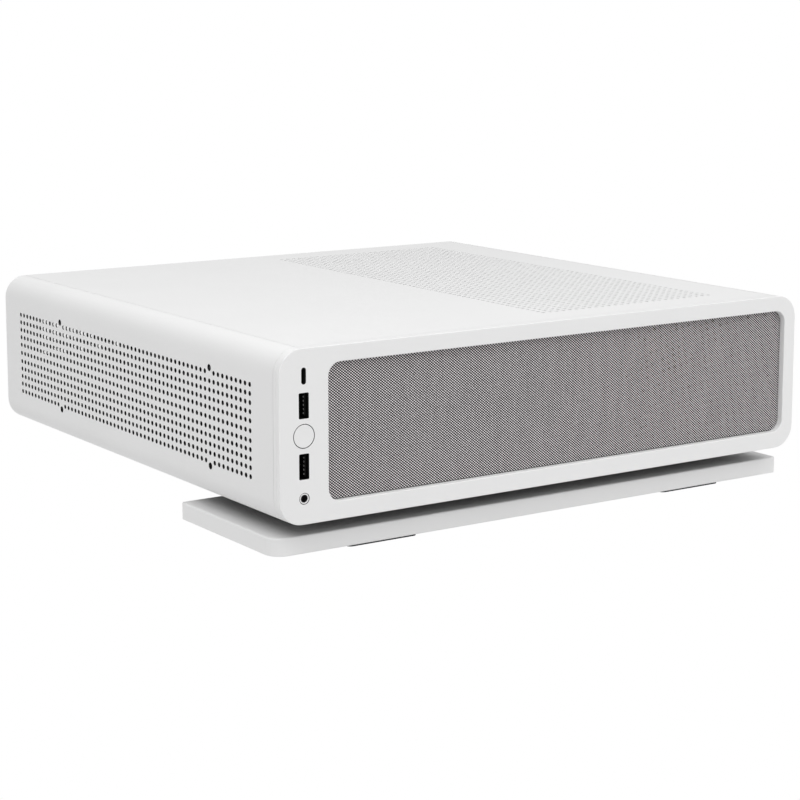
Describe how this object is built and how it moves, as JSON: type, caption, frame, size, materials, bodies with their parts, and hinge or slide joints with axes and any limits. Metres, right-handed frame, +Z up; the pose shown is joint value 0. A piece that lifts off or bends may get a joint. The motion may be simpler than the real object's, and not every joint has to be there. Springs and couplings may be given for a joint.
{
  "type": "desktop computer",
  "caption": "Slim desktop computer lying flat on a low base, with perforated covers, a woven front screen, lift-off panels, spinning fans and a sprung power button.",
  "frame": {"origin": "on the desk, under the middle of the computer's box", "axes": "+X to the computer's right as seen from the front, -Y towards the front, +Z up"},
  "size_m": [0.375, 0.355, 0.1161],
  "materials": {
    "white_paint": "white powder coat, fine texture, low gloss",
    "white_plastic": "white moulded plastic, satin",
    "grey_weave": "two-tone grey woven fabric, fine diagonal twill",
    "black_plastic": "black plastic, satin",
    "black_metal": "black powder coat",
    "grey_plastic": "dark grey moulded plastic",
    "circuit_board": "circuit board with solder mask",
    "aluminium": "bare extruded and stamped fins",
    "plated_steel": "bright plated steel",
    "rubber": "matt black rubber"
  },
  "bodies": {
    "chassis": {"audio_jack": "white_plastic", "base_pad_left": "rubber", "base_pad_right": "rubber", "base_plate": "white_paint", "base_spacer_left": "white_paint", "base_spacer_right": "white_paint", "board_power_cable": "black_plastic", "board_tray": "black_metal", "bottom_panel": "white_paint", "button_guide": "white_plastic", "card_board": "circuit_board", "card_bracket": "plated_steel", "card_heat_sink": "aluminium", "card_power_cable": "black_plastic", "card_shroud": "grey_plastic", "case_fan_front_frame": "white_plastic", "case_fan_rear_frame": "white_plastic", "centre_divider": "black_metal", "display_sockets": "plated_steel", "drive_bracket": "black_metal", "front_frame": "black_metal", "front_io_board": "circuit_board", "front_panel_cable": "black_plastic", "io_shield": "plated_steel", "left_side_cover": "white_paint", "mains_cable": "black_plastic", "mains_inlet": "black_plastic", "mains_plug": "black_plastic", "memory_module_1": "circuit_board", "memory_module_2": "circuit_board", "motherboard": "circuit_board", "network_socket": "plated_steel", "processor_fan_frame": "black_plastic", "processor_heat_sink": "aluminium", "psu_case": "black_metal", "psu_fan_frame": "black_plastic", "rear_foot_left": "white_plastic", "rear_foot_pad_left": "rubber", "rear_foot_pad_right": "rubber", "rear_foot_right": "white_plastic", "rear_panel": "white_paint", "right_side_cover": "white_paint", "riser_card": "circuit_board", "storage_drive": "black_metal", "usb_a_lower": "black_plastic", "usb_a_upper": "black_plastic", "usb_c_port": "black_plastic", "usb_stack": "plated_steel"},
    "top_panel": {"top_panel": "white_paint"},
    "front_cover": {"front_bezel": "white_plastic", "fabric_screen": "grey_weave", "screen_carrier": "white_plastic"},
    "power_button": {"power_button": "white_plastic"},
    "case_fan_front_rotor": {"case_fan_front_rotor": "white_plastic"},
    "case_fan_rear_rotor": {"case_fan_rear_rotor": "white_plastic"},
    "processor_fan_rotor": {"processor_fan_rotor": "black_plastic"},
    "psu_fan_rotor": {"psu_fan_rotor": "black_plastic"},
    "card_fan_front_rotor": {"card_fan_front_rotor": "black_plastic"},
    "card_fan_rear_rotor": {"card_fan_rear_rotor": "black_plastic"},
    "psu_rocker": {"psu_rocker": "black_plastic"}
  },
  "joints": [
    {"name": "top_panel_lift", "type": "slide", "parent": "chassis", "child": "top_panel", "axis": [0, 0, 1], "range_m": [0, 0.1]},
    {"name": "front_cover_pull", "type": "slide", "parent": "chassis", "child": "front_cover", "axis": [0, -1, 0], "range_m": [0, 0.06]},
    {"name": "power_button_press", "type": "slide", "parent": "chassis", "child": "power_button", "axis": [0, 1, 0], "range_m": [0, 0.0012], "stiffness_N_per_m": 800, "springref_m": -0.0015},
    {"name": "case_fan_front_spin", "type": "hinge", "parent": "chassis", "child": "case_fan_front_rotor", "pos_m": [0.076, -0.0715, 0.1016], "axis": [0, 0, 1], "continuous": true},
    {"name": "case_fan_rear_spin", "type": "hinge", "parent": "chassis", "child": "case_fan_rear_rotor", "pos_m": [0.076, 0.0715, 0.1016], "axis": [0, 0, 1], "continuous": true},
    {"name": "processor_fan_spin", "type": "hinge", "parent": "chassis", "child": "processor_fan_rotor", "pos_m": [-0.098, 0.092, 0.0633], "axis": [0, 0, 1], "continuous": true},
    {"name": "psu_fan_spin", "type": "hinge", "parent": "chassis", "child": "psu_fan_rotor", "pos_m": [-0.1015, -0.099, 0.0323], "axis": [0, 0, 1], "continuous": true},
    {"name": "card_fan_front_spin", "type": "hinge", "parent": "chassis", "child": "card_fan_front_rotor", "pos_m": [0.0675, -0.033, 0.0764], "axis": [0, 0, 1], "continuous": true},
    {"name": "card_fan_rear_spin", "type": "hinge", "parent": "chassis", "child": "card_fan_rear_rotor", "pos_m": [0.0675, 0.096, 0.0764], "axis": [0, 0, 1], "continuous": true},
    {"name": "psu_rocker_tilt", "type": "hinge", "parent": "chassis", "child": "psu_rocker", "pos_m": [-0.061, -0.146, 0.06175], "axis": [1, 0, 0], "range_deg": [-12, 0]}
  ]
}
